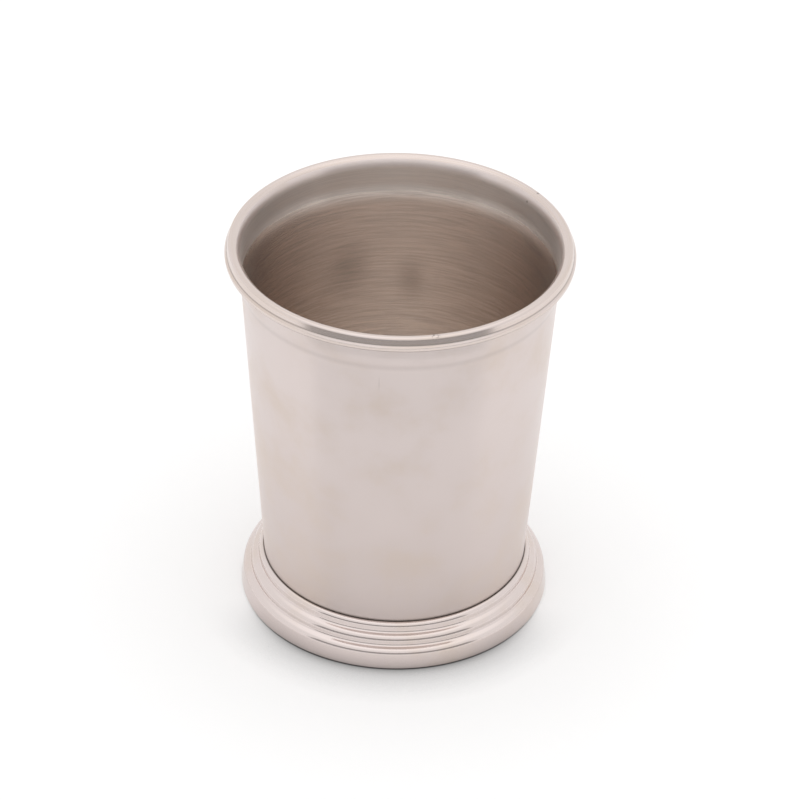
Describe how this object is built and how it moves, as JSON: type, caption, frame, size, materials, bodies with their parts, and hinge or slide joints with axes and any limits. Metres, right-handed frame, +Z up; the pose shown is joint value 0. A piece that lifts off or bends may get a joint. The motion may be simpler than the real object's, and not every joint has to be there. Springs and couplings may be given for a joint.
{
  "type": "julep cup",
  "caption": "Polished steel julep cup: tapered drawn tumbler with an applied rim moulding of a round lip over a narrow band, standing in a hollow foot of three rounded tiers closed by a crimped base disc.",
  "frame": {"origin": "centre of the annular face that the foot rests on", "axes": "+Z up along the cup's axis of revolution, out of the mouth; X and Y are free, and the picture is taken from -Y"},
  "size_m": [0.0856, 0.0856, 0.1016],
  "materials": {
    "cup_steel": "polished",
    "rim_steel": "polished",
    "foot_steel": "polished",
    "base_steel": "satin",
    "solder": "satin"
  },
  "bodies": {
    "root": {"cup_body": "cup_steel", "rim_moulding": "rim_steel", "rim_solder": "solder", "foot_shell": "foot_steel", "foot_solder": "solder", "base_disc": "base_steel"}
  },
  "joints": []
}
